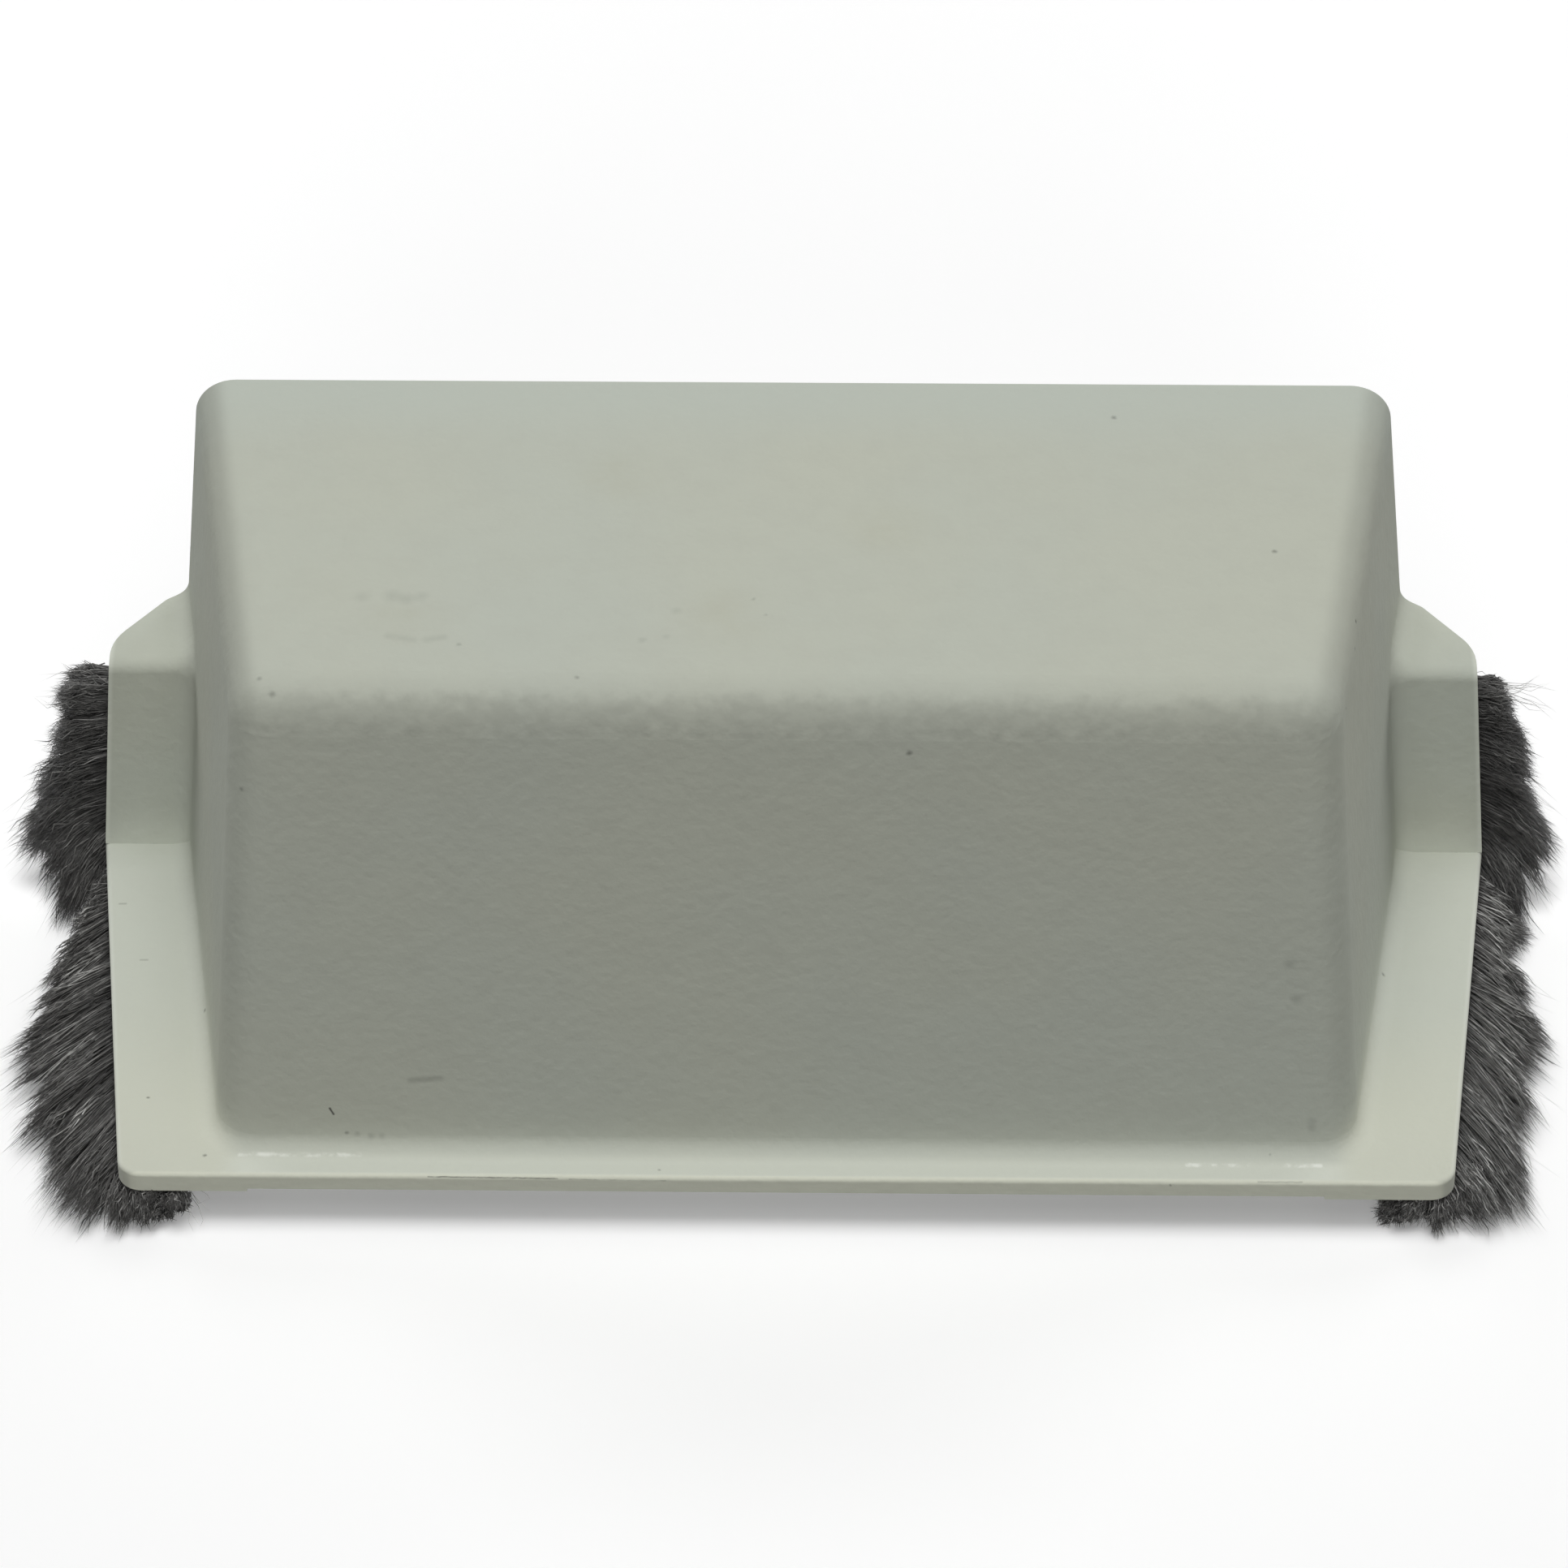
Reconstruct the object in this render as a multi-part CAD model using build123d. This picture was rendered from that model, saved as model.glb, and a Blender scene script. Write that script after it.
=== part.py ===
from build123d import *
from math import cos, hypot, radians, tan
import os

# Overall sizes, in millimetres. Depth runs from the front lip to the open back.
overall_width = 100.0
depth = 43.8
height = 36.9
wall = 1.6

# Side plates, and the flange that joins them along the front
plate_front_width = 91.6
fold_depth = 34.8
corner_radius = 1.8
edge_rounding = 0.35
relief_width = 74.0
relief_height = 0.25

# Stepped wings behind the fold
step_height = 17.5
step_end_draft = 4.5
riser_lean = 5.0
step_edge_radius = 1.1
back_corner_shoulder = 1.2
back_corner_depth = 5.2
back_corner_radius = 4.5
back_shoulder_radius = 1.5

# Hood over the lock keep
hood_foot_depth = 2.5
hood_foot_width = 78.1
hood_taper = 8.6
hood_side_draft = 5.6
hood_front_lean = 9.5
ridge_radius = 3.5
side_edge_radius = 3.0
foot_radius = 1.5
inner_corner_radius = 0.4

# Pile pads under the plates and behind the risers
pad_thickness = 3.0
pad_inset = 4.6
pad_overhang = 4.6
pad_front_gap = 0.8
pad_back_gap = 0.5
pad_corner_radius = 1.2
riser_pad_thickness = 2.6
riser_pad_inset = 4.0
riser_pad_gap = 0.6

# How far the forms that hollow and trim the sheet reach past it
reach = 5.0
# Points nearer than this count as touching
tolerance = 0.01


def slope(degrees):
    return tan(radians(degrees))


def plate_half_width(y):
    """Half the width across the plates' trimmed outer edges, at a depth behind the lip."""
    gain = (overall_width - plate_front_width) / 2 / fold_depth
    return plate_front_width / 2 + gain * y


def hood_half_width(y, z):
    """Half the width across the hood's flat side walls, without their rounded edges."""
    return (
        hood_foot_width / 2
        + (y - hood_foot_depth) * slope(hood_taper)
        - (z - wall) * slope(hood_side_draft)
    )


def hood_front(z):
    return hood_foot_depth + (z - wall) * slope(hood_front_lean)


def riser_front(z):
    return fold_depth + (z - wall) * slope(riser_lean)


def riser_back(z):
    return riser_front(z) + wall / cos(radians(riser_lean))


def step_half_width(z):
    return overall_width / 2 - (z - wall) * slope(step_end_draft)


def symmetric(right):
    """An outline from the points of its right half, front to back."""
    return right + [(-x, y) for x, y in reversed(right)]


def flat_sided_block(outline, low, high):
    """A solid with flat sides between an outline's shapes at two heights."""
    bottom = [(x, y, low) for x, y in outline(low)]
    top = [(x, y, high) for x, y in outline(high)]
    rings = [bottom, top]
    for i in range(len(bottom)):
        rings.append([bottom[i - 1], bottom[i], top[i], top[i - 1]])
    return Solid(Shell([Face(Wire.make_polygon(ring)) for ring in rings]))


def hood_block(inset, low, back, ridge, side):
    """The hood's form, moved inwards by the inset, with its ridge and side edges rounded."""
    front_inset = inset / cos(radians(hood_front_lean))
    side_inset = inset * hypot(1, slope(hood_taper), slope(hood_side_draft))

    def outline(z):
        front = hood_front(z) + front_inset
        return symmetric(
            [
                (hood_half_width(front, z) - side_inset, front),
                (hood_half_width(back, z) - side_inset, back),
            ]
        )

    block = flat_sided_block(outline, low, height - inset)
    ridge_edge = block.edges().filter_by(Axis.X).group_by(Axis.Z)[-1].sort_by(Axis.Y)[0]
    block = fillet(ridge_edge, ridge)
    for side_index in (0, -1):
        side_wall = block.faces().sort_by(Axis.X)[side_index]
        rim = [
            edge
            for edge in side_wall.edges()
            if edge.center().Z > low + tolerance and edge.center().Y < back - tolerance
        ]
        block = fillet(rim, side)
    return block


def round_top_front(block, radius):
    edge = block.edges().filter_by(Axis.X).group_by(Axis.Z)[-1].sort_by(Axis.Y)[0]
    return fillet(edge, radius)


def upright_edges(block, front, back):
    """A wing block's upright edges between two depths."""
    return [
        edge
        for edge in block.edges()
        if edge.bounding_box().size.Z > step_height / 2 and front < edge.center().Y < back
    ]


def outer_step_block():
    """The wings' outside, as one block right across, with slanted and rounded back corners."""
    back_half = hood_half_width(depth, step_height) + back_corner_shoulder
    corner_width = step_half_width(step_height) - back_half

    def outline(z):
        half = step_half_width(z)
        return symmetric(
            [
                (half, riser_front(z)),
                (half, depth - back_corner_depth),
                (half - corner_width, depth),
            ]
        )

    block = flat_sided_block(outline, wall, step_height)
    ends = upright_edges(block, riser_back(step_height), depth - tolerance)
    block = fillet(ends, back_corner_radius)
    shoulders = upright_edges(block, depth - tolerance, depth + tolerance)
    return round_top_front(fillet(shoulders, back_shoulder_radius), step_edge_radius)


def inner_step_block(low, back):
    """The wings' inside, open at their outer ends."""
    half = overall_width / 2 + reach

    def outline(z):
        return symmetric([(half, riser_back(z)), (half, back)])

    return round_top_front(flat_sided_block(outline, low, step_height - wall), inner_corner_radius)


def plate_slab():
    """The flat plates and the front flange, before the hood's mouth is cut out of them."""
    half = overall_width / 2
    back = riser_back(0) + wall
    outline = Polygon(
        *symmetric([(plate_half_width(0), 0), (half, fold_depth), (half, back)]), align=None
    )
    outline = fillet(outline.vertices().group_by(Axis.Y)[0], corner_radius)
    slab = extrude(outline, wall)
    trimmed = [
        edge
        for edge in slab.faces().sort_by(Axis.Z)[-1].edges()
        if edge.center().Y < fold_depth - tolerance
    ]
    return fillet(trimmed, edge_rounding)


def lies_on(edge, part):
    middle = edge @ 0.5
    return min(face.distance_to(middle) for face in part.faces()) < tolerance


def seam(joined, first, second):
    """The edges where one form rises out of another, without those on the open back and base."""
    return [
        edge
        for edge in joined.edges()
        if (edge @ 0.5).Y < depth - tolerance
        and ((edge @ 0.5).Z > wall + tolerance or 0 < (edge @ 0.5).Y < fold_depth)
        and lies_on(edge, first)
        and lies_on(edge, second)
    ]


def outer_form():
    base = plate_slab() + outer_step_block()
    hood = hood_block(0, 0, depth, ridge_radius, side_edge_radius)
    joined = base + hood
    return fillet(seam(joined, base, hood), foot_radius)


def hollow():
    """The space inside the sheet, open below, behind and at the wings' outer ends."""
    low = -reach
    back = depth + reach
    step = inner_step_block(low, back)
    hood = hood_block(wall, low, back, ridge_radius - wall, side_edge_radius - wall)
    joined = step + hood
    return fillet(seam(joined, step, hood), foot_radius + wall)


def make_cover():
    """The moulded sheet: one even wall through flange, plates, risers, wings and hood."""
    inside = hollow()
    sheet = outer_form() - inside
    rim = [edge for edge in sheet.edges() if abs((edge @ 0.5).Z) < tolerance and lies_on(edge, inside)]
    sheet = fillet(rim, wall)
    relief = Box(
        relief_width,
        hood_foot_depth + wall,
        2 * relief_height,
        align=(Align.CENTER, Align.MIN, Align.CENTER),
    )
    return sheet - relief


def make_plate_pad():
    """The right-hand pad, which lies under the plate and stands out past its trimmed edge."""
    front = pad_front_gap
    back = fold_depth - pad_back_gap
    outline = Polygon(
        (plate_half_width(front) - pad_inset, front),
        (plate_half_width(front) + pad_overhang, front),
        (plate_half_width(back) + pad_overhang, back),
        (plate_half_width(back) - pad_inset, back),
        align=None,
    )
    outline = fillet(outline.vertices(), pad_corner_radius)
    return extrude(outline, pad_thickness, dir=(0, 0, -1))


def make_riser_pad():
    """The right-hand pad behind the riser, flat against it and out past the wing's open end."""

    def outline(z):
        inner = step_half_width(z) - riser_pad_inset
        outer = step_half_width(z) + pad_overhang
        front = riser_back(z)
        back = front + riser_pad_thickness
        return [(inner, front), (outer, front), (outer, back), (inner, back)]

    return flat_sided_block(outline, riser_pad_gap, step_height - wall - riser_pad_gap)


plate_pad = make_plate_pad()
riser_pad = make_riser_pad()
pieces = {
    "cover": make_cover(),
    "left_lower_pile_pad": mirror(plate_pad, about=Plane.YZ),
    "left_upper_pile_pad": mirror(riser_pad, about=Plane.YZ),
    "right_lower_pile_pad": plate_pad,
    "right_upper_pile_pad": riser_pad,
}

# The origin is under the middle of the whole, level with the pads' undersides
placement = Pos(0, -depth / 2, pad_thickness)

os.makedirs("parts", exist_ok=True)
for name, piece in pieces.items():
    export_step(placement * piece, f"parts/{name}.step")
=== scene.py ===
import math

import bpy
import numpy as np
from mathutils import Matrix, Vector


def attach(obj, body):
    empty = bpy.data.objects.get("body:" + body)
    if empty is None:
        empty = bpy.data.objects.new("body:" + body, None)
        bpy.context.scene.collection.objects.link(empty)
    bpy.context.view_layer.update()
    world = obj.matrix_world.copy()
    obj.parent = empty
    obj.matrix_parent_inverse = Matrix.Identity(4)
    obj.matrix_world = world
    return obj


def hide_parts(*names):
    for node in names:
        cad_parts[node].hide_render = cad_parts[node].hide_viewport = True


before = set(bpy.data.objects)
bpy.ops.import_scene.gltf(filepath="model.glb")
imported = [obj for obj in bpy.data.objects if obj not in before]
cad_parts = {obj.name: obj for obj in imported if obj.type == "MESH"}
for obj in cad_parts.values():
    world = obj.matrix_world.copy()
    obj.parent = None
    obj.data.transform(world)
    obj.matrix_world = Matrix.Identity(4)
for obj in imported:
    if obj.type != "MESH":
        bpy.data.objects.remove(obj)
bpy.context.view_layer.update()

# Lengths are in millimetres, in the part's own frame, and become metres in a mesh or a material
MM = 0.001
# The cover's sizes, as in its CAD: the lip's depth, the plates' underside and top, and the fold's depth
FRONT = -21.9
UNDERSIDE = 3.0
WALL = 1.6
PLATE_TOP = UNDERSIDE + WALL
FOLD = 12.9
# How far out the plates are trimmed at the lip and at the fold, and how their edges and the risers slope
LIP_HALF_WIDTH = 45.8
FOLD_HALF_WIDTH = 50.0
PLATE_FLARE = (FOLD_HALF_WIDTH - LIP_HALF_WIDTH) / (FOLD - FRONT)
WING_TAPER = math.tan(math.radians(4.5))
RISER_LEAN = math.tan(math.radians(5.0))


def plate_edge(y):
    """How far out the plate's trimmed edge is, at a depth."""
    return LIP_HALF_WIDTH + (y - FRONT) * PLATE_FLARE


def riser_inner_face(z):
    """The depth of the riser's hidden face, at a height."""
    return FOLD + WALL + (z - PLATE_TOP) * RISER_LEAN


def wing_end(z):
    """How far out the wing's trimmed end is, at a height."""
    return FOLD_HALF_WIDTH - (z - PLATE_TOP) * WING_TAPER


class Value:
    """A shader socket that plain arithmetic can be written with."""

    def __init__(self, finish, socket):
        self.finish = finish
        self.socket = socket

    def __add__(self, other):
        return self.finish.maths("ADD", self, other)

    def __radd__(self, other):
        return self.finish.maths("ADD", other, self)

    def __sub__(self, other):
        return self.finish.maths("SUBTRACT", self, other)

    def __rsub__(self, other):
        return self.finish.maths("SUBTRACT", other, self)

    def __mul__(self, other):
        return self.finish.maths("MULTIPLY", self, other)

    def __rmul__(self, other):
        return self.finish.maths("MULTIPLY", other, self)

    def __truediv__(self, other):
        return self.finish.maths("DIVIDE", self, other)

    def __rtruediv__(self, other):
        return self.finish.maths("DIVIDE", other, self)


class Finish:
    """A material, or the studio's backdrop, built up from shader nodes."""

    def __init__(self, owner):
        self.owner = owner
        owner.use_nodes = True
        self.tree = owner.node_tree
        self.tree.nodes.clear()

    def node(self, kind, settings=None, values=None, output=0):
        made = self.tree.nodes.new("ShaderNode" + kind)
        for name, setting in (settings or {}).items():
            if name == "stops":
                self.set_stops(made.color_ramp, setting)
            else:
                setattr(made, name, setting)
        for name, value in (values or {}).items():
            socket = made.inputs[name]
            if isinstance(value, Value):
                self.tree.links.new(value.socket, socket)
            elif socket.type == "RGBA":
                socket.default_value = (*value, 1)
            else:
                socket.default_value = value
        if made.outputs:
            return Value(self, made.outputs[output])

    def set_stops(self, ramp, stops):
        while len(ramp.elements) < len(stops):
            ramp.elements.new(0.5)
        for element, (position, colour) in zip(ramp.elements, stops):
            element.position = position
            element.color = (*colour, 1)

    def maths(self, operation, first, second):
        return self.node("Math", {"operation": operation}, {0: first, 1: second})

    def vectors(self, operation, first, second, output=0):
        """Vector maths on two places, which gives a place from output 0 or a number from output 1."""
        return self.node("VectorMath", {"operation": operation}, {0: first, 1: second}, output)

    def parts(self, kind, whole):
        """The three numbers that a place or a colour is made of."""
        return [self.node("Separate" + kind, values={0: whole}, output=k) for k in range(3)]

    def noise(self, place, scale, detail=2.0, roughness=0.5):
        values = {"Vector": place, "Scale": scale, "Detail": detail, "Roughness": roughness}
        return self.node("TexNoise", values=values)

    def spread(self, value, low, high, to_low=0.0, to_high=1.0):
        """Turns the run of a value from low to high into a smooth run between two others."""
        return self.node(
            "MapRange",
            {"interpolation_type": "SMOOTHSTEP"},
            {"Value": value, "From Min": low, "From Max": high, "To Min": to_low, "To Max": to_high},
        )

    def mix(self, amount, first, second):
        """A colour between two, by an amount from 0 to 1."""
        return self.node("Mix", {"data_type": "RGBA"}, {0: amount, 6: first, 7: second}, output=2)

    def along(self, place, start, end):
        """How far a place is from the straight line between two others."""
        start, end = Vector(start) * MM, Vector(end) * MM
        run = end - start
        away = self.vectors("SUBTRACT", place, start)
        shadow = self.vectors("DOT_PRODUCT", away, run, output=1)
        share = self.node("Clamp", values={"Value": shadow / run.length_squared})
        foot = self.node("VectorMath", {"operation": "SCALE"}, {0: run, "Scale": share})
        return self.vectors("DISTANCE", away, foot, output=1)

    def seen_directly(self):
        """1 for what the camera sees, also in a reflection or through glass, and 0 for bounced light."""
        return sum(self.node("LightPath", output=kind) for kind in (0, 3, 6))

    def close(self, surface, output="OutputMaterial"):
        self.node(output, values={"Surface": surface})
        return self.owner


# Dirt specks: where, how far they reach (mm), and how dark
SPECKS = [
    ((8.27, -14.13, 36.12), 0.34, 0.55),
    ((22.46, 18.02, 39.9), 0.30, 0.45),
    ((33.02, 2.94, 39.9), 0.30, 0.50),
    ((38.38, -1.91, 37.76), 0.26, 0.80),
    ((38.27, -3.66, 36.79), 0.24, 0.70),
    ((37.37, -9.74, 36.58), 0.20, 0.50),
    ((-33.94, -12.39, 39.36), 0.36, 0.40),
    ((-44.41, -14.24, 4.6), 0.20, 0.60),
    ((34.09, -16.81, 20.07), 0.70, 0.18),
    ((34.68, -17.27, 17.32), 0.70, 0.17),
    ((42.07, -1.04, 5.11), 0.28, 0.55),
    ((-41.11, -6.07, 5.40), 0.24, 0.70),
    ((-39.96, -20.04, 4.6), 0.22, 0.60),
    ((-36.25, -14.11, 32.56), 0.26, 0.40),
    ((-30.15, -19.16, 6.02), 0.24, 0.45),
    ((-29.45, -19.18, 5.95), 0.34, 0.20),
    ((-28.50, -19.22, 5.75), 0.40, 0.22),
    ((-27.75, -19.22, 5.80), 0.36, 0.17),
    ((-8.62, -21.15, 4.6), 0.16, 0.45),
    ((-34.87, -11.23, 39.73), 0.30, 0.35),
    ((-13.80, -11.04, 39.86), 0.26, 0.35),
    ((-21.80, -7.65, 39.9), 0.28, 0.24),
    ((-2.25, -2.60, 39.9), 0.28, 0.22),
    ((-1.40, -4.30, 39.9), 0.24, 0.16),
    ((-28.60, -2.60, 39.9), 0.90, 0.10),
    ((-26.60, -2.50, 39.9), 1.00, 0.11),
    ((-25.60, -2.80, 39.9), 0.90, 0.13),
    ((-24.60, -2.50, 39.9), 0.80, 0.10),
    ((-7.40, -3.90, 39.9), 0.60, 0.11),
    ((-9.60, -7.10, 39.9), 0.50, 0.14),
    ((-8.00, -6.70, 39.9), 0.45, 0.09),
    ((26.40, -21.88, 4.22), 0.16, 0.45),
    ((33.30, -19.60, 5.00), 0.16, 0.35),
]
# Fine hairs, scratches and smears: from where to where, how far they reach (mm), and how dark
STREAKS = [
    ((-31.27, -18.83, 8.00), (-31.02, -18.91, 7.50), 0.13, 0.95),
    ((-48.36, 6.23, 4.6), (-47.90, 6.23, 4.6), 0.16, 0.32),
    ((-46.26, 0.18, 4.6), (-45.80, 0.18, 4.6), 0.16, 0.28),
    ((-25.60, -18.44, 10.28), (-23.60, -18.42, 10.50), 0.42, 0.22),
    ((-26.60, -6.80, 39.9), (-24.90, -7.20, 39.9), 0.55, 0.09),
    ((-24.00, -7.20, 39.9), (-22.90, -6.90, 39.9), 0.55, 0.10),
    ((36.07, -18.88, 7.50), (36.07, -18.97, 6.95), 0.50, 0.15),
    ((32.40, -21.80, 4.48), (35.40, -21.80, 4.50), 0.09, 0.30),
    ((-24.47, -21.82, 4.43), (-15.60, -21.84, 4.38), 0.085, 0.80),
    ((-14.80, -21.85, 4.34), (-8.17, -21.86, 4.28), 0.07, 0.55),
]
# The painted highlight, a broken bright line at the foot of the hood's front: from where to where
GLINTS = [
    ((-37.60, -20.00, 4.65), (-29.30, -20.03, 4.70)),
    ((27.60, -20.33, 4.63), (36.70, -20.30, 4.63)),
]
# Faint yellow stains on the hood's top: where, and how far they reach (mm)
STAINS = [
    ((-25.4, -5.2, 39.9), 3.6),
    ((-12.0, 11.0, 39.9), 4.0),
    ((7.0, 5.3, 39.9), 4.4),
    ((-4.0, -4.6, 39.9), 5.0),
]
# Where the hood is painted darker as painted shade, mottled by its moulded texture: along its ridge, down
# to the height where its rounding ends, and along the side edges, given for the right one
RIDGE = ((-34.9, -13.35, 38.42), (34.9, -13.35, 38.42))
RIDGE_FOOT = 36.98
SIDE_EDGE = ((35.8, -13.3, 38.5), (41.2, 21.9, 38.7))


def near(finish, place, spot, reach):
    """1 at a spot, falling to 0 at its reach."""
    distance = finish.vectors("DISTANCE", place, Vector(spot) * MM, output=1)
    return finish.spread(distance, 0.0, reach * MM, 1.0, 0.0)


def frayed(finish, place, amount, scale):
    """A place that wanders by up to an amount, so that a mark's outline is uneven."""
    wander = finish.node("TexNoise", values={"Vector": place, "Scale": scale, "Detail": 2.0}, output=1)
    shift = finish.vectors("SUBTRACT", wander, (0.5, 0.5, 0.5))
    values = {0: shift, 1: (2 * amount * MM,) * 3, 2: place}
    return finish.node("VectorMath", {"operation": "MULTIPLY_ADD"}, values)


def dirt(finish, place):
    """How dark each place is with specks, hairs and smears."""
    uneven = frayed(finish, place, 0.11, 2600.0)
    marks = [near(finish, uneven, spot, reach) * depth for spot, reach, depth in SPECKS]
    wavy = frayed(finish, place, 0.05, 1800.0)
    for start, end, reach, depth in STREAKS:
        marks.append(finish.spread(finish.along(wavy, start, end), 0.0, reach * MM, depth, 0.0))
    return sum(marks)


def trimmed_rim(finish, across, back, height):
    """Where the plates' and wings' trimmed outer edges get their painted highlight: 1 along them, falling
    to 0 within half a millimetre.
    """
    behind_lip = finish.maths("MINIMUM", back - FRONT * MM, (FOLD - FRONT) * MM)
    above_plate = finish.maths("MAXIMUM", height - PLATE_TOP * MM, 0.0)
    edge = LIP_HALF_WIDTH * MM + behind_lip * PLATE_FLARE - above_plate * WING_TAPER
    return finish.spread(edge - across, 0.10 * MM, 0.42 * MM, 1.0, 0.0)


def painted_light_on_low_parts(finish, colour, across, back, height):
    """Painted light: the plates and the flange are painted paler than the hood, and palest towards the lip.
    """
    flange = finish.spread(across, 39.5 * MM, 37.0 * MM)
    low_down = finish.spread(height, PLATE_TOP * MM, 8.4 * MM - flange * 1.2 * MM, 1.0, 0.0)
    # Painted light on the plates, the flange and the lip, for light that the lamps don't bring there
    colour = finish.mix(low_down * 0.56, colour, (0.580, 0.605, 0.535))
    rim = finish.spread(back, -19.7 * MM, -20.6 * MM) * flange
    forward = finish.spread(back, -1.0 * MM, -18.0 * MM) * (1 - flange) + rim
    colour = finish.mix(low_down * forward * 0.72, colour, (0.610, 0.622, 0.525))
    colour = finish.mix(low_down * rim * 0.6, colour, (0.640, 0.670, 0.605))
    lip = finish.spread(back, -21.55 * MM, -21.80 * MM)
    return finish.mix(lip * 0.85, colour, (0.720, 0.735, 0.615))


def stains_and_painted_cool_light_on_top(finish, colour, place, back, height):
    """The hood's top is painted cooler towards its back, a painted reflection of bluish light from behind,
    and has faint yellow stains.
    """
    top = finish.spread(height, 33.0 * MM, 38.0 * MM)
    far_back = finish.spread(back, 13.0 * MM, 21.0 * MM)
    # Painted reflection: the back of the top is tinted cooler, as bluish light from behind would make it
    colour = finish.mix(top * far_back * 0.8, colour, (0.484, 0.522, 0.465))
    blots = finish.spread(finish.noise(place, 300.0, 3.0, 0.6), 0.35, 0.7)
    stain = sum(near(finish, place, spot, reach) for spot, reach in STAINS)
    return finish.mix(stain * (0.12 + 0.22 * blots), colour, (0.440, 0.440, 0.345))


def painted_shade_on_edges(finish, colour, place, x, across, back, height):
    """Painted shade along the hood's ridge and side edges, mottled with the moulded texture, with more of
    it on the left.
    """
    flattened = finish.vectors("MULTIPLY", place, (0.65, 1.0, 1.0))
    pebbles = finish.spread(finish.noise(flattened, 1250.0), 0.36, 0.64)
    wandering = frayed(finish, place, 0.85, 900.0)
    ridge = finish.spread(finish.along(wandering, *RIDGE), 0.3 * MM, 2.0 * MM, 1.0, 0.0)
    ridge = ridge * finish.spread(height, (RIDGE_FOOT - 0.08) * MM, (RIDGE_FOOT + 0.12) * MM)
    mirrored = finish.node("CombineXYZ", values={0: across, 1: back, 2: height})
    edge = finish.spread(finish.along(mirrored, *SIDE_EDGE), 0.5 * MM, 1.9 * MM, 1.0, 0.0)
    left = finish.spread(x, 1.0 * MM, -1.0 * MM)
    # Painted shade: along the ridge, cut off where its rounding ends, and along the side edges
    painted_shade = finish.maths("MAXIMUM", ridge * (0.34 + 0.11 * pebbles), edge * (0.31 + 0.12 * left))
    return finish.mix(painted_shade, colour, (0.250, 0.258, 0.220))


def painted_edge_highlights(finish, colour, place, across, back, height):
    """Painted highlights: pale trimmed edges, and the broken bright line at the foot of the hood's front.
    """
    rim = trimmed_rim(finish, across, back, height)
    # Painted highlight along the trimmed edges
    colour = finish.mix(rim * 0.55, colour, (0.640, 0.660, 0.590))
    patchy = finish.spread(finish.noise(place, 620.0, 3.0, 0.7), 0.40, 0.62)
    uneven = frayed(finish, place, 0.10, 1500.0)
    lines = (finish.along(uneven, *line) for line in GLINTS)
    glint = sum(finish.spread(line, 0.02 * MM, 0.27 * MM, 1.0, 0.0) for line in lines)
    # Painted highlight along the foot of the hood's front
    return finish.mix(glint * patchy * 0.75, colour, (0.840, 0.860, 0.800))


def sheet_plastic():
    finish = Finish(bpy.data.materials.new("ivory_moulded_plastic"))
    place = finish.node("TexCoord", output=3)
    x, back, height = finish.parts("XYZ", place)
    across = finish.maths("ABSOLUTE", x, 0.0)
    patches = finish.spread(finish.noise(place, 42.0), 0.3, 0.7)
    grime = finish.spread(finish.noise(place, 420.0, 4.0, 0.65), 0.35, 0.75)
    colour = finish.mix(patches, (0.492, 0.510, 0.433), (0.479, 0.506, 0.442))
    colour = finish.mix(grime * 0.18, colour, (0.430, 0.440, 0.380))
    colour = painted_light_on_low_parts(finish, colour, across, back, height)
    colour = stains_and_painted_cool_light_on_top(finish, colour, place, back, height)
    colour = painted_shade_on_edges(finish, colour, place, x, across, back, height)
    colour = painted_edge_highlights(finish, colour, place, across, back, height)
    colour = finish.mix(dirt(finish, place), colour, (0.055, 0.055, 0.050))

    texture = finish.noise(place, 1300.0)
    swell = finish.noise(place, 95.0)
    relief = finish.node(
        "Bump", values={"Distance": 0.16 * MM, "Height": swell * 0.9 + texture * 0.34}
    )
    surface = finish.node(
        "BsdfPrincipled",
        values={
            "Base Color": colour,
            "Roughness": 0.62 + 0.10 * texture + 0.06 * grime,
            "IOR": 1.49,
            "Specular IOR Level": 0.08,
            "Normal": relief,
        },
    )
    return finish.close(surface)


# The yarn's colours, from its darkest fibres to its lightest
YARN_SHADES = [
    (0.0, (0.020, 0.019, 0.018)),
    (0.40, (0.085, 0.083, 0.079)),
    (0.72, (0.240, 0.236, 0.227)),
    (1.0, (0.62, 0.62, 0.60)),
]


def pile_yarn():
    """Each fibre has its own shade and its tuft's, and is painted darker towards its root, as painted shade
    deep in the pile.
    """
    finish = Finish(bpy.data.materials.new("grey_pile_yarn"))
    own, along, tuft = finish.parts("Color", finish.node("Attribute", {"attribute_name": "fibre"}))
    place = finish.node("TexCoord", output=3)
    broken = finish.spread(finish.noise(place, 1500.0, 2.0, 0.6), 0.35, 0.65)
    lightness = own * 0.68 + tuft * 0.20 + broken * 0.16 - 0.03
    shade = finish.node("ValToRGB", {"stops": YARN_SHADES}, {"Fac": lightness})
    # Painted shade: near-black towards the roots, for the shade deep in the pile and between its tufts
    root = finish.spread(along, 0.0, 0.45, 0.75, 0.0)
    colour = finish.mix(root, shade, (0.030, 0.029, 0.028))
    surface = finish.node(
        "BsdfPrincipled",
        values={
            "Base Color": colour,
            "Roughness": 0.62,
            "Specular IOR Level": 0.35,
            "Sheen Weight": 0.25,
            "Sheen Roughness": 0.4,
        },
    )
    return finish.close(surface)


def deselect():
    bpy.ops.object.select_all(action="DESELECT")


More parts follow.
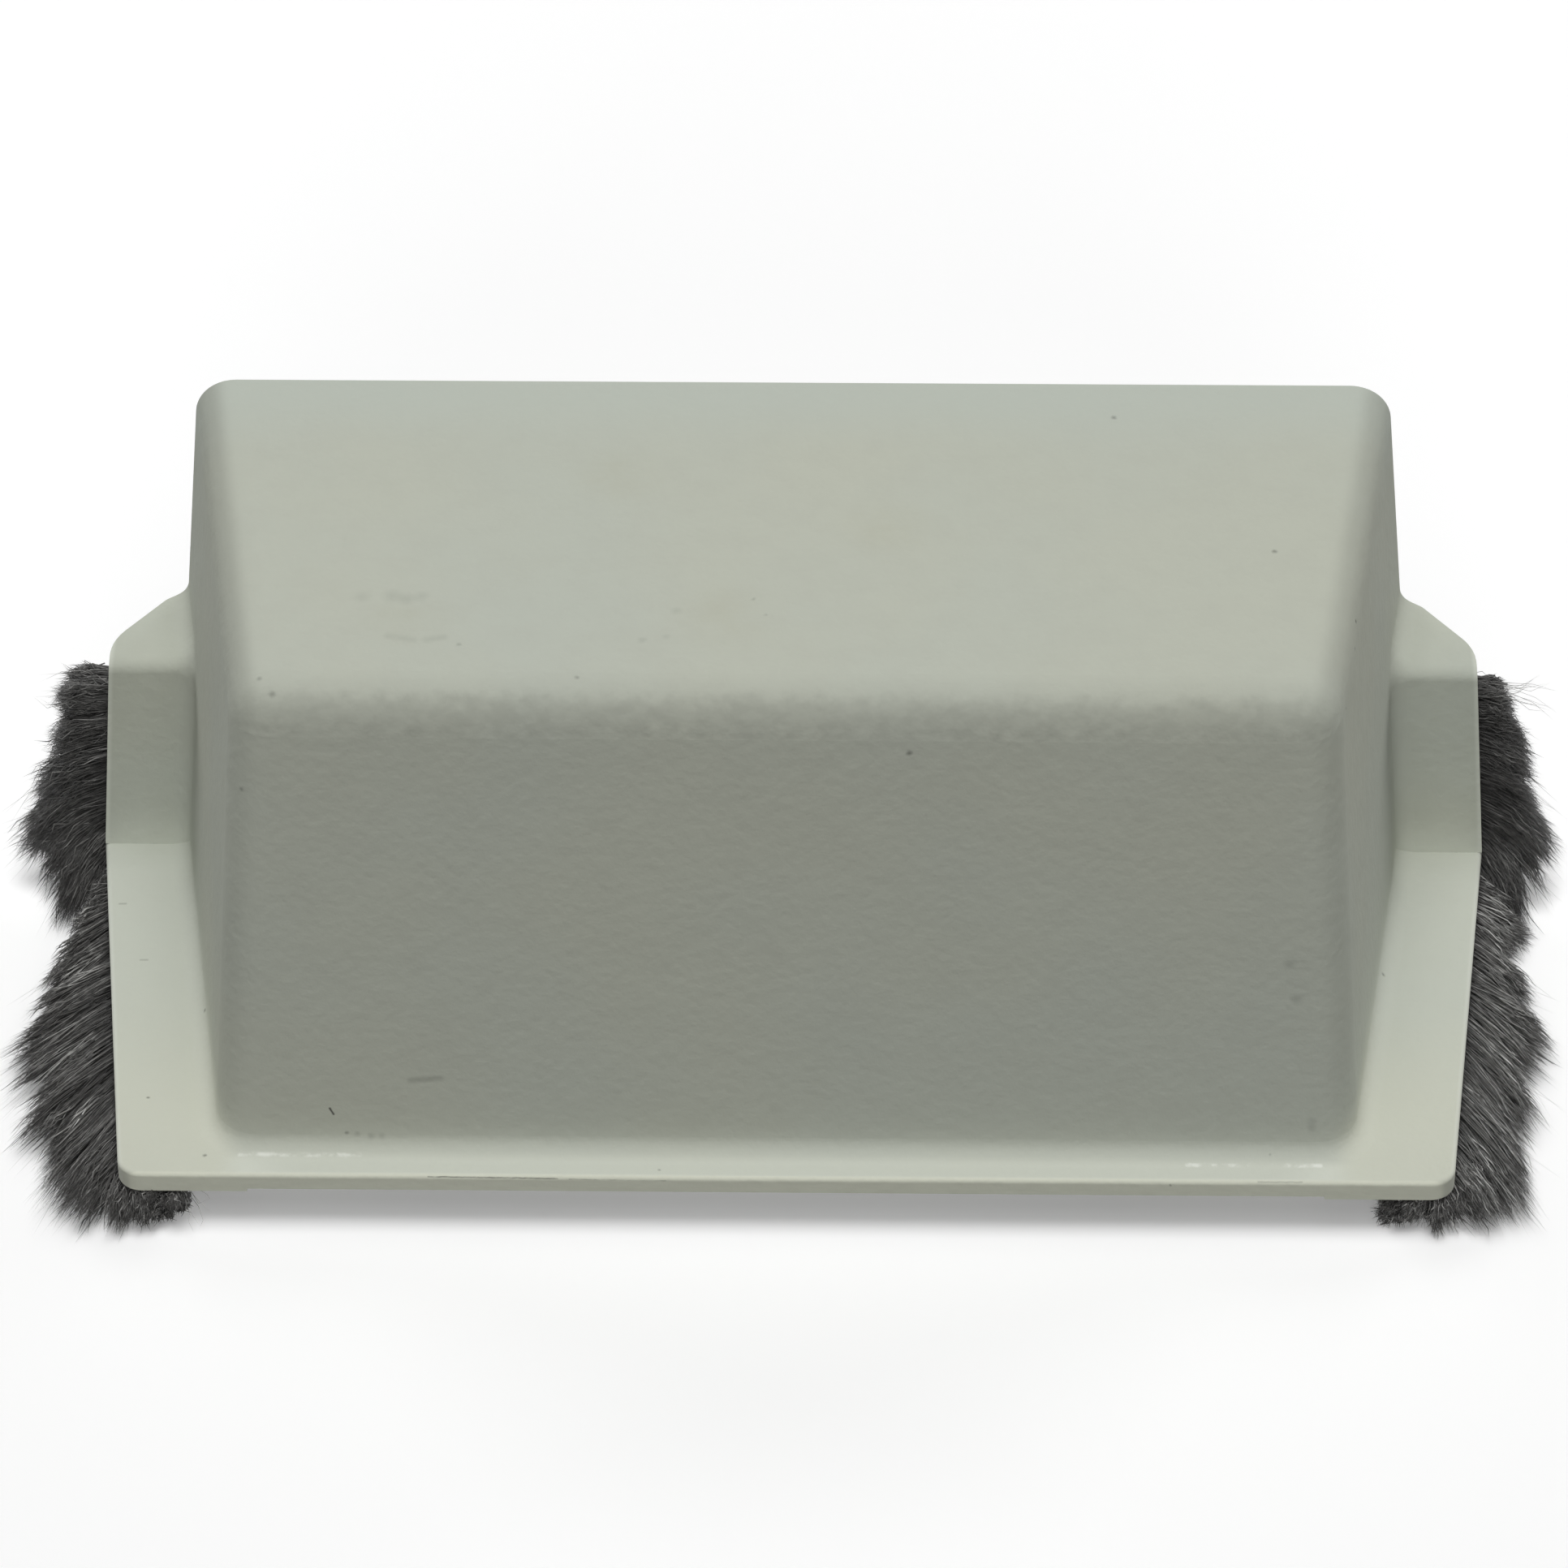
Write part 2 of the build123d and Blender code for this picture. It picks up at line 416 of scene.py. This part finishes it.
def select_vertices(piece, wanted):
    """Selects the vertices of the piece being edited whose place passes a test."""
    bpy.ops.mesh.select_all(action="DESELECT")
    bpy.ops.object.mode_set(mode="OBJECT")
    for vertex in piece.data.vertices:
        vertex.select = wanted(piece.matrix_world @ vertex.co / MM)
    bpy.ops.object.mode_set(mode="EDIT")


# The lower pile's outline seen from above: how far along its root line, then the tips' x and y
LOWER_OUTLINE = {
    "left": [
        (0.0, -50.9, 9.6),
        (1.3, -51.8, 6.9),
        (2.5, -53.0, 3.6),
        (3.9, -54.0, 0.8),
        (5.6, -54.3, -1.1),
        (7.2, -53.1, -2.3),
        (8.9, -54.1, -4.0),
        (9.5, -54.9, -5.4),
        (10.9, -55.0, -7.0),
        (12.5, -55.2, -9.1),
        (14.4, -54.4, -10.5),
        (15.4, -53.7, -11.7),
        (16.2, -54.4, -13.5),
        (18.0, -53.3, -15.0),
        (19.8, -52.5, -17.2),
        (21.4, -51.6, -18.6),
        (22.0, -51.6, -20.6),
        (23.7, -50.3, -22.1),
        (26.5, -48.8, -23.2),
        (29.3, -46.8, -24.1),
        (31.5, -45.1, -23.0),
        (34.0, -43.7, -23.0),
        (36.0, -42.0, -22.5),
        (37.0, -41.2, -21.9),
    ],
    "right": [
        (0.0, 52.4, 9.2),
        (1.2, 54.0, 6.8),
        (2.2, 52.6, 5.2),
        (3.2, 51.2, 3.4),
        (4.9, 53.8, 0.6),
        (6.7, 52.9, -1.6),
        (8.5, 54.0, -3.8),
        (9.6, 54.5, -5.2),
        (11.5, 53.9, -8.4),
        (13.3, 52.4, -10.4),
        (15.0, 52.3, -12.2),
        (16.9, 52.1, -15.7),
        (18.4, 51.2, -17.0),
        (19.8, 52.9, -19.1),
        (21.4, 52.4, -21.5),
        (23.5, 51.0, -22.8),
        (27.3, 48.7, -23.6),
        (29.8, 45.8, -22.7),
        (32.0, 44.2, -22.4),
        (35.0, 42.0, -21.8),
        (37.0, 41.0, -21.2),
    ],
}
# The upper pile's outline: how high its root is, then the tips' x, y and z
UPPER_OUTLINE = {
    "left": [
        (3.2, -53.6, 6.6, 0.4),
        (3.9, -55.0, 7.8, 0.5),
        (4.8, -55.2, 9.8, 0.7),
        (5.8, -54.9, 11.8, 1.8),
        (6.8, -55.8, 12.8, 2.9),
        (7.6, -56.4, 14.0, 3.4),
        (8.6, -57.4, 15.2, 4.4),
        (9.6, -55.9, 15.2, 6.3),
        (10.8, -55.1, 15.6, 7.9),
        (12.0, -54.7, 16.0, 9.8),
        (13.4, -54.2, 16.2, 12.0),
        (14.4, -53.2, 16.4, 13.7),
        (15.4, -53.5, 16.4, 14.6),
        (16.3, -53.6, 16.6, 15.6),
        (17.0, -52.4, 16.6, 16.4),
        (17.7, -50.6, 16.8, 17.2),
        (18.3, -49.2, 16.8, 17.6),
    ],
    "right": [
        (3.2, 53.2, 7.0, 0.5),
        (3.9, 54.1, 8.8, 0.6),
        (4.8, 54.4, 10.4, 0.8),
        (6.0, 54.6, 12.2, 2.0),
        (7.2, 55.0, 13.8, 3.0),
        (8.4, 56.0, 15.0, 4.2),
        (9.4, 55.3, 15.4, 5.0),
        (10.8, 53.7, 15.6, 7.0),
        (12.0, 53.1, 16.0, 9.0),
        (13.2, 53.7, 16.0, 10.6),
        (14.4, 53.5, 16.2, 12.6),
        (15.4, 52.5, 16.4, 14.4),
        (16.4, 52.0, 16.4, 15.6),
        (17.2, 51.3, 16.6, 16.8),
        (18.3, 49.9, 16.8, 18.3),
    ],
}
# Single long hairs that stand clear of the pile: where each leaves it, and its tip
WISPS = {
    "left": [
        ((-49.8, 16.2, 17.2), (-54.4, 16.6, 17.0)),
        ((-49.8, 16.0, 15.6), (-54.9, 16.4, 15.5)),
        ((-50.6, 15.6, 9.6), (-58.0, 15.4, 5.2)),
        ((-50.4, 15.2, 8.0), (-57.9, 14.6, 4.0)),
        ((-49.6, 14.8, 4.4), (-55.6, 11.0, 0.4)),
        ((-48.6, 4.0, 2.4), (-55.1, -1.6, 1.7)),
        ((-48.0, -2.6, 2.4), (-55.6, -13.4, 1.4)),
        ((-47.6, -4.0, 2.2), (-55.1, -12.2, 1.2)),
        ((-46.6, -8.0, 2.3), (-53.4, -18.6, 1.0)),
        ((-41.6, -20.4, 2.2), (-40.2, -22.4, 1.4)),
        ((-41.4, -20.6, 1.8), (-40.0, -23.0, 0.6)),
        ((-41.5, -20.2, 2.4), (-39.6, -22.0, 1.9)),
    ],
    "right": [
        ((48.9, 16.0, 18.2), (54.9, 17.0, 16.9)),
        ((48.9, 16.2, 18.0), (55.1, 16.6, 14.6)),
        ((49.0, 16.0, 17.6), (54.2, 16.0, 15.8)),
        ((49.2, 15.8, 17.2), (53.8, 16.4, 17.4)),
        ((49.2, 15.8, 16.8), (53.2, 16.2, 17.9)),
        ((49.6, 15.8, 13.0), (55.9, 16.0, 5.8)),
        ((49.6, 15.6, 12.0), (55.6, 15.6, 6.6)),
        ((49.6, 15.4, 9.4), (56.7, 14.6, 3.4)),
        ((49.4, 15.0, 6.0), (55.7, 10.6, 1.0)),
        ((48.8, 6.0, 2.4), (54.9, -0.6, 1.8)),
        ((48.0, -3.0, 2.4), (54.4, -11.4, 1.4)),
        ((46.4, -10.0, 2.2), (53.1, -17.2, 1.0)),
    ],
}


def unit_fibre():
    """One tapering three-sided fibre, as tall as it is wide, cut across so that it can bend."""
    deselect()
    bpy.ops.mesh.primitive_cone_add(
        vertices=3, radius1=0.5, radius2=0.0, depth=1.0, location=(0, 0, 0.5), end_fill_type="NGON"
    )
    fibre = bpy.context.object
    bpy.ops.object.mode_set(mode="EDIT")
    for height in (0.33, 0.66):
        bpy.ops.mesh.select_all(action="SELECT")
        bpy.ops.mesh.bisect(plane_co=(0, 0, height), plane_no=(0, 0, 1))
    bpy.ops.object.mode_set(mode="OBJECT")
    bpy.ops.object.transform_apply(location=True, rotation=True, scale=True)
    corners = np.array([vertex.co[:] for vertex in fibre.data.vertices])
    faces = [tuple(face.vertices) for face in fibre.data.polygons]
    bpy.data.objects.remove(fibre)
    return corners, faces


# A direction that no fibre takes, to find each one's sides from
NO_FIBRES_WAY = np.array([0.31, -0.42, 0.85])


def lay_fibres(fibre, roots, middles, tips, widths, crimp, curl):
    """One copy of the fibre along each curve from root to tip: the corners of every copy."""
    x, y, height = (fibre[0][:, k][None, :, None] for k in range(3))
    # Fuller than a plain cone, so that only its last third narrows to the tip
    fullness = np.clip(1.0 - height, 1e-6, 1) ** -0.6
    path = (
        (1 - height) ** 2 * roots[:, None]
        + 2 * height * (1 - height) * middles[:, None]
        + height**2 * tips[:, None]
    )
    tangent = 2 * (1 - height) * (middles - roots)[:, None] + 2 * height * (tips - middles)[:, None]
    tangent /= np.linalg.norm(tangent, axis=2, keepdims=True) + 1e-9
    side = np.cross(tangent, NO_FIBRES_WAY)
    side /= np.linalg.norm(side, axis=2, keepdims=True) + 1e-9
    other = np.cross(tangent, side)
    crimp = crimp[:, None, None]
    wave = np.sin(crimp * 40 + height * (5 + 5 * crimp))
    path = path + (side * crimp + other * (0.5 - crimp)) * wave * height * curl
    width = widths[:, None, None] * fullness
    return path + side * x * width + other * y * width


# How far every fibre stays clear of what the cover stands on
ABOVE_FLOOR = 0.03


def fibre_mesh(name, fibre, corners, shades):
    """A mesh of every laid fibre, with each one's shade, height and tuft kept on its corners."""
    unit, faces = fibre
    count, each = corners.shape[:2]
    flat = corners.reshape(-1, 3) * MM
    flat[:, 2] = np.maximum(flat[:, 2], ABOVE_FLOOR * MM)
    first = np.arange(count) * each
    loops = [(first[:, None] + np.array(face)[None]).ravel() for face in faces]
    sizes = np.concatenate([np.full(count, len(face)) for face in faces])
    indices = np.concatenate(loops).astype(np.int32)
    mesh = bpy.data.meshes.new(name)
    mesh.vertices.add(len(flat))
    mesh.vertices.foreach_set("co", flat.ravel())
    mesh.loops.add(len(indices))
    mesh.loops.foreach_set("vertex_index", indices)
    mesh.polygons.add(len(sizes))
    mesh.polygons.foreach_set("loop_start", (np.cumsum(sizes) - sizes).astype(np.int32))
    mesh.polygons.foreach_set("loop_total", sizes.astype(np.int32))
    mesh.update(calc_edges=True)
    mesh.validate()
    kept = np.ones((count, each, 4))
    kept[:, :, 0] = shades[:, 0, None]
    kept[:, :, 1] = unit[:, 2]
    kept[:, :, 2] = shades[:, 1, None]
    tint = mesh.attributes.new("fibre", "FLOAT_COLOR", "POINT")
    tint.data.foreach_set("color", kept.ravel())
    piece = bpy.data.objects.new(name, mesh)
    bpy.context.collection.objects.link(piece)
    return piece


def read_off(along, rows):
    """The rows' values at places along them, between one row and the next."""
    where, *columns = np.array(rows).T
    return np.stack([np.interp(along, where, column) for column in columns], axis=1)


def into_tufts(rng, across, middles, tips, tuft_count, pull):
    """Draws neighbouring fibres together towards shared tips, and gives each tuft a shade."""
    centres = across[rng.choice(len(across), tuft_count, replace=False)]
    member = np.argmin(((across[:, None] - centres[None]) ** 2).sum(axis=2), axis=1)
    counts = np.maximum(np.bincount(member, minlength=tuft_count), 1)
    meeting = np.stack(
        [np.bincount(member, tips[:, k], minlength=tuft_count) / counts for k in range(3)], axis=1
    )
    drawn = (pull * rng.uniform(0.5, 1.0, tuft_count))[member][:, None]
    sway = rng.normal(0, 0.3, (tuft_count, 3))[member]
    reach = rng.uniform(0.82, 1.16, tuft_count)[member][:, None]
    drift = meeting[member] - tips
    tips = tips + drift * drawn + sway
    middles = middles + drift * drawn * 0.35 + sway * 0.4
    tips = middles + (tips - middles) * reach
    return middles, tips, rng.uniform(0, 1, tuft_count)[member]


def into_large_and_small_tufts(rng, across, middles, tips, large_tufts, small_tufts):
    middles, tips, large = into_tufts(rng, across, middles, tips, *large_tufts)
    middles, tips, small = into_tufts(rng, across, middles, tips, *small_tufts)
    return middles, tips, large * 0.3 + small * 0.7


def fibre_lengths(rng, count):
    """Shares of the pile's reach: about half reach its outline, a few stray past it, the rest are short."""
    kind = rng.uniform(0, 1, count)
    full = rng.uniform(0.90, 1.05, count)
    short = rng.uniform(0.58, 0.95, count)
    stray = rng.uniform(1.05, 1.20, count)
    return np.where(kind < 0.46, full, np.where(kind < 0.52, stray, short))


def shortened(rng, roots, middles, tips, lift):
    """Cuts over half of the curves down to a stretch part way along, raised a little so that it shows."""
    count = len(roots)
    short = rng.uniform(0, 1, count) < 0.58
    start = np.where(short, rng.uniform(0.12, 0.66, count), 0.0)[:, None]
    end = start + (1 - start) * np.where(short, rng.uniform(0.5, 1.0, count), 1.0)[:, None]

    def place(first, second):
        both = first * (1 - second) + second * (1 - first)
        return (1 - first) * (1 - second) * roots + both * middles + first * second * tips

    root, middle, tip = place(start, start), place(start, end), place(end, end)
    rise = rng.uniform(0, 1, count)[:, None] * np.array(lift) * short[:, None]
    stray = rng.normal(0, 0.16, (count, 3)) * short[:, None]
    return root, middle + rise * 0.6, tip + rise + stray


# A pile's large tufts and its small ones: how many, and how strongly each draws its fibres together
LOWER_TUFTS = [(22, 0.26), (260, 0.45)]
UPPER_TUFTS = [(14, 0.25), (130, 0.45)]
# The lower pile's root line, from the fold to under the lip: how far along it, then its depth
LOWER_ROOT_DEPTH = [(-1.2, 13.5), (30.5, -18.2), (32.5, -19.8), (34.0, -20.4), (37.0, -20.5)]
# How far along that line, then how far in from the plate's edge it is
LOWER_ROOT_INSET = [(-1.2, 1.0), (30.0, 1.0), (32.5, 1.9), (34.0, 3.0), (37.0, 4.9)]


def lower_pile_fibres(rng, name, count):
    """Curves for the pile under one plate: out past its edge, then combed towards the front."""
    side = -1 if name == "left" else 1
    along = rng.uniform(LOWER_ROOT_DEPTH[0][0], LOWER_ROOT_DEPTH[-1][0], count)
    layer = rng.uniform(0, 1, count)
    y = read_off(along, LOWER_ROOT_DEPTH)[:, 0]
    inset = read_off(along, LOWER_ROOT_INSET)[:, 0]
    x = plate_edge(y) - inset - 1.8 * rng.uniform(0, 1, count) ** 1.5 * (along < 31)
    roots = np.stack([side * x, y, 0.25 + 2.45 * layer], axis=1)
    outline = read_off(along + rng.normal(0, 0.35, count), LOWER_OUTLINE[name])
    tips = np.column_stack([outline, 0.3 + 1.9 * layer + rng.normal(0, 0.2, count)])
    middles = roots * 0.5 + tips * 0.5
    # Each fibre leaves its root a little more squarely than it ends
    middles[:, 0] += side * 0.35
    middles[:, 1] += 0.45 * np.clip((30 - along) / 8, 0, 1)
    middles[:, 2] = np.minimum(roots[:, 2] + 0.15 * layer, UNDERSIDE - 0.15)
    tips = middles + (tips - middles) * (2 * fibre_lengths(rng, count)[:, None] - 1)
    tips[:, :2] += rng.normal(0, 0.30, (count, 2))
    across = np.column_stack([along, layer * 2.0])
    middles, tips, tuft = into_large_and_small_tufts(rng, across, middles, tips, *LOWER_TUFTS)
    return *shortened(rng, roots, middles, tips, (0, 0, 0.30)), tuft


# The heights that the upper pile's roots lie between
UPPER_FOOT = 3.3
UPPER_TOP = 17.2


def upper_pile_fibres(rng, name, count):
    """Curves for the pile behind one riser: out past the wing's open end, then drooping."""
    side = -1 if name == "left" else 1
    height = UPPER_FOOT + (UPPER_TOP - UPPER_FOOT) * rng.uniform(0, 1, count)
    layer = rng.uniform(0, 1, count)
    x = wing_end(height) - 0.9 - 2.2 * rng.uniform(0, 1, count) ** 1.4
    roots = np.stack([side * x, riser_inner_face(height) + 0.2 + 2.2 * layer, height], axis=1)
    outline = read_off(height + rng.normal(0, 0.35, count), UPPER_OUTLINE[name])
    droop = 1.3 * np.clip((np.abs(outline[:, 0]) - 53.0) / 3.0, 0, 1)
    tips = outline + np.column_stack([np.zeros(count), 1.6 * (layer - 0.4) - 0.6 * droop, -droop])
    # The lowest strands fan forwards and fill in beside the end of the plate
    share = np.clip((6.5 - height) / 3.0, 0, 1) * rng.uniform(0, 1, count)
    tips[:, 0] += (side * 50.7 - tips[:, 0]) * share
    tips[:, 1] += (7.6 - tips[:, 1]) * share * 0.8
    middles = roots * 0.5 + tips * 0.5
    middles[:, 0] += side * 0.9
    middles[:, 1] = np.maximum(middles[:, 1], riser_inner_face(middles[:, 2]) + 0.15 + 0.9 * layer)
    middles[:, 2] = roots[:, 2] * 0.7 + tips[:, 2] * 0.3
    tips = middles + (tips - middles) * (2 * fibre_lengths(rng, count)[:, None] - 1)
    tips += rng.normal(0, 0.42, (count, 3))
    middles += rng.normal(0, 0.20, (count, 3))
    across = np.column_stack([height, layer * 2.0])
    middles, tips, tuft = into_large_and_small_tufts(rng, across, middles, tips, *UPPER_TUFTS)
    return *shortened(rng, roots, middles, tips, (0, -0.30, 0.10)), tuft


def wisp_curves(rng, wisps):
    """Three hairs for each wisp, which wander from its line."""
    ends = np.array(wisps).repeat(3, axis=0)
    roots = ends[:, 0] + rng.normal(0, 0.15, (len(ends), 3))
    tips = ends[:, 1] + rng.normal(0, 0.45, (len(ends), 3))
    tips[:, 2] = np.maximum(tips[:, 2], 0.3)
    middles = (roots + tips) / 2 + rng.normal(0, 0.6, (len(ends), 3))
    middles[:, 2] = np.maximum(middles[:, 2], 0.3)
    return roots, middles, tips


def pile_piece(name, fibre, seed, curves, wisps, count, painted_lighting, curl):
    """One side's lower or upper pile, with its loose hairs, as one mesh."""
    rng = np.random.default_rng(seed)
    roots, middles, tips, tuft = curves(rng, name.split("_")[0], count)
    loose = wisp_curves(rng, wisps)
    roots, middles, tips = (np.concatenate(pair) for pair in zip((roots, middles, tips), loose))
    tips[:, 2] = np.maximum(tips[:, 2], 0.15)
    total = len(roots)
    extra = total - count
    own = np.concatenate([rng.beta(1.0, 1.6, count), rng.uniform(0.75, 1.0, extra)])
    tuft = np.concatenate([tuft, np.ones(extra)])
    # The longest fibres are the finest
    length = np.linalg.norm(tips - roots, axis=1)[:count]
    fineness = np.clip(1.8 - 0.8 * length / np.median(length), 0.4, 1.0)
    widths = np.concatenate([rng.uniform(0.065, 0.165, count) * fineness, rng.uniform(0.04, 0.07, extra)])
    corners = lay_fibres(fibre, roots, middles, tips, widths, rng.uniform(0, 1, total), curl)
    # Each pile's fibre shades are scaled by its painted lighting: lighter for a lower pile, darker for an
    # upper one
    shades = np.column_stack([own * painted_lighting, tuft * painted_lighting])
    return fibre_mesh(name, fibre, corners, shades)


def bed(name, low, high, lean):
    """The dark backing that the pile grows from: a cube drawn out, leaned over, rounded and roughened.

    The lean is an axis, the place along it past which the backing moves, and how far it moves.
    """
    deselect()
    centre = [(a + b) / 2 * MM for a, b in zip(low, high)]
    bpy.ops.mesh.primitive_cube_add(size=1.0, location=centre)
    backing = bpy.context.object
    backing.name = name
    backing.scale = [abs(b - a) * MM for a, b in zip(low, high)]
    bpy.ops.object.transform_apply(location=True, rotation=True, scale=True)
    axis, threshold, shift = lean
    bpy.ops.object.mode_set(mode="EDIT")
    select_vertices(backing, lambda place: place[axis] > threshold)
    bpy.ops.transform.translate(value=[v * MM for v in shift])
    bpy.ops.mesh.select_all(action="SELECT")
    bpy.ops.mesh.bevel(offset=0.4 * MM, segments=2, affect="EDGES")
    bpy.ops.mesh.subdivide(number_cuts=2)
    bpy.ops.transform.vertex_random(offset=0.08 * MM, uniform=1.0, normal=0.0, seed=3)
    bpy.ops.mesh.normals_make_consistent(inside=False)
    bpy.ops.object.mode_set(mode="OBJECT")
    tint = backing.data.attributes.new("fibre", "FLOAT_COLOR", "POINT")
    tint.data.foreach_set("color", [0.0, 0.0, 0.0, 1.0] * len(backing.data.vertices))
    return backing


def lower_bed(name, side):
    front, back = -20.4, 12.0
    edge = plate_edge(front)
    low = (side * (edge - 4.4), front, 0.25)
    high = (side * (edge - 0.5), back, UNDERSIDE - 0.2)
    shift = (side * (plate_edge(back) - edge), 0, 0)
    return bed(name, low, high, (1, 0.0, shift))


def upper_bed(name, side):
    foot, top = 3.8, 18.0
    end = wing_end(foot)
    near_face = riser_inner_face(foot) + 0.3
    low = (side * (end - 3.8), near_face, foot)
    high = (side * (end - 0.4), near_face + 2.0, top)
    shift = (side * (wing_end(top) - end), riser_inner_face(top) - riser_inner_face(foot), 0)
    return bed(name, low, high, (2, 10.0, shift))


def join(first, second):
    deselect()
    first.select_set(True)
    second.select_set(True)
    bpy.context.view_layer.objects.active = first
    bpy.ops.object.join()
    return first


def finish_pile(piece, backing, node, material):
    """Sets a pile on its backing and puts it in place of its plain pad."""
    piece.data.materials.clear()
    backing.data.materials.clear()
    join(piece, backing)
    piece.data.materials.append(material)
    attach(piece, "root")
    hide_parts(node)


# Each side's seed, and how bright its lower and its upper pile are painted: painted light on the lower
# piles, painted shade on the upper ones
SIDES = {
    "left": (11, 1.12, 0.88),
    "right": (29, 1.28, 0.80),
}
LOWER_FIBRES = 12000
UPPER_FIBRES = 11000


def make_pile(material):
    fibre = unit_fibre()
    share = 1.0
    for name, (seed, lower_painted_light, upper_painted_shade) in SIDES.items():
        side = -1 if name == "left" else 1
        lower = pile_piece(
            name + "_lower_pile",
            fibre,
            seed,
            lower_pile_fibres,
            [hair for hair in WISPS[name] if hair[0][2] < UNDERSIDE],
            int(LOWER_FIBRES * share),
            lower_painted_light,
            curl=0.35,
        )
        upper = pile_piece(
            name + "_upper_pile",
            fibre,
            seed + 1,
            upper_pile_fibres,
            [hair for hair in WISPS[name] if hair[0][2] > UNDERSIDE],
            int(UPPER_FIBRES * share),
            upper_painted_shade,
            curl=0.6,
        )
        finish_pile(lower, lower_bed(name + "_lower_bed", side), name + "_lower_pile_pad", material)
        finish_pile(upper, upper_bed(name + "_upper_bed", side), name + "_upper_pile_pad", material)


def make_floor():
    """Looks white in the picture, but sends little light back up under the cover's sides."""
    deselect()
    bpy.ops.mesh.primitive_plane_add(size=6.0, location=(0, 0, 0))
    floor = bpy.context.object
    floor.name = "floor"
    finish = Finish(bpy.data.materials.new("pale_floor"))
    white = finish.node("BsdfDiffuse", values={"Color": (0.93, 0.93, 0.93)})
    lift = finish.node("Emission", values={"Color": (1.0, 1.0, 1.0), "Strength": 0.15})
    bright = finish.node("AddShader", values={0: white, 1: lift})
    dim = finish.node("BsdfDiffuse", values={"Color": (0.16, 0.16, 0.155)})
    surface = finish.node("MixShader", values={0: finish.seen_directly(), 1: dim, 2: bright})
    floor.data.materials.append(finish.close(surface))


# The studio's broad lights: how high and how far round each stands (degrees), and how strong it is
LIGHTS = {
    "overhead_light": (90, 0, 1.80),
    "high_front_light": (66, 180, 0.42),
    "low_front_light": (15, 180, 0.80),
    "low_right_rear_light": (15, 45, 1.08),
    "low_left_rear_light": (15, 315, 0.98),
}
# How broad each lamp looks from the cover (degrees), for soft shadows
LAMP_BREADTH = 34.0


def make_lights():
    for name, (rise, turn, strength) in LIGHTS.items():
        lamp = bpy.data.lights.new(name, "SUN")
        lamp.energy = strength
        lamp.angle = math.radians(LAMP_BREADTH)
        holder = bpy.data.objects.new(name, lamp)
        bpy.context.collection.objects.link(holder)
        rise, turn = math.radians(rise), math.radians(turn)
        towards = Vector(
            (math.sin(turn) * math.cos(rise), math.cos(turn) * math.cos(rise), math.sin(rise))
        )
        holder.rotation_euler = (-towards).to_track_quat("-Z", "Y").to_euler()


def make_backdrop():
    """White where it is seen, and nearly dark as a light, so that the lamps shape the cover."""
    finish = Finish(bpy.data.worlds.new("white_studio"))
    dark = finish.node("Background", values={"Strength": 0.01})
    white = finish.node("Background", values={"Color": (1.0, 1.0, 1.0), "Strength": 1.0})
    backdrop = finish.node("MixShader", values={0: finish.seen_directly(), 1: dark, 2: white})
    bpy.context.scene.world = finish.close(backdrop, "OutputWorld")


# The photograph's view: how the camera is turned, raised and rolled (degrees), what it looks at, how far
# off it is (mm), and its lens and the width of its sensor (mm)
CAMERA_ANGLES = (-1.17, 40.0, -0.38)
CAMERA_TARGET = (-0.39, 2.97, 19.0)
CAMERA_DISTANCE = 450.0
CAMERA_LENS = 147.52
CAMERA_SENSOR = 36.0


def make_camera():
    turn, rise, roll = (math.radians(angle) for angle in CAMERA_ANGLES)
    target = Vector(CAMERA_TARGET) * MM
    view = Vector(
        (math.sin(turn) * math.cos(rise), math.cos(turn) * math.cos(rise), -math.sin(rise))
    )
    right = Vector((math.cos(turn), -math.sin(turn), 0))
    up = right.cross(view)
    tilted_right = right * math.cos(roll) + up * math.sin(roll)
    tilted_up = up * math.cos(roll) - right * math.sin(roll)
    lens = bpy.data.cameras.new("camera")
    lens.sensor_width = CAMERA_SENSOR
    lens.lens = CAMERA_LENS
    lens.clip_start = 0.01
    lens.clip_end = 20.0
    camera = bpy.data.objects.new("camera", lens)
    bpy.context.collection.objects.link(camera)
    axes = Matrix((tilted_right, tilted_up, -view)).transposed().to_4x4()
    camera.matrix_world = Matrix.Translation(target - view * CAMERA_DISTANCE * MM) @ axes
    bpy.context.scene.camera = camera


make_camera()
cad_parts["cover"].material_slots[0].material = sheet_plastic()
make_pile(pile_yarn())
make_floor()
make_lights()
make_backdrop()
bpy.context.scene.view_settings.view_transform = "Standard"
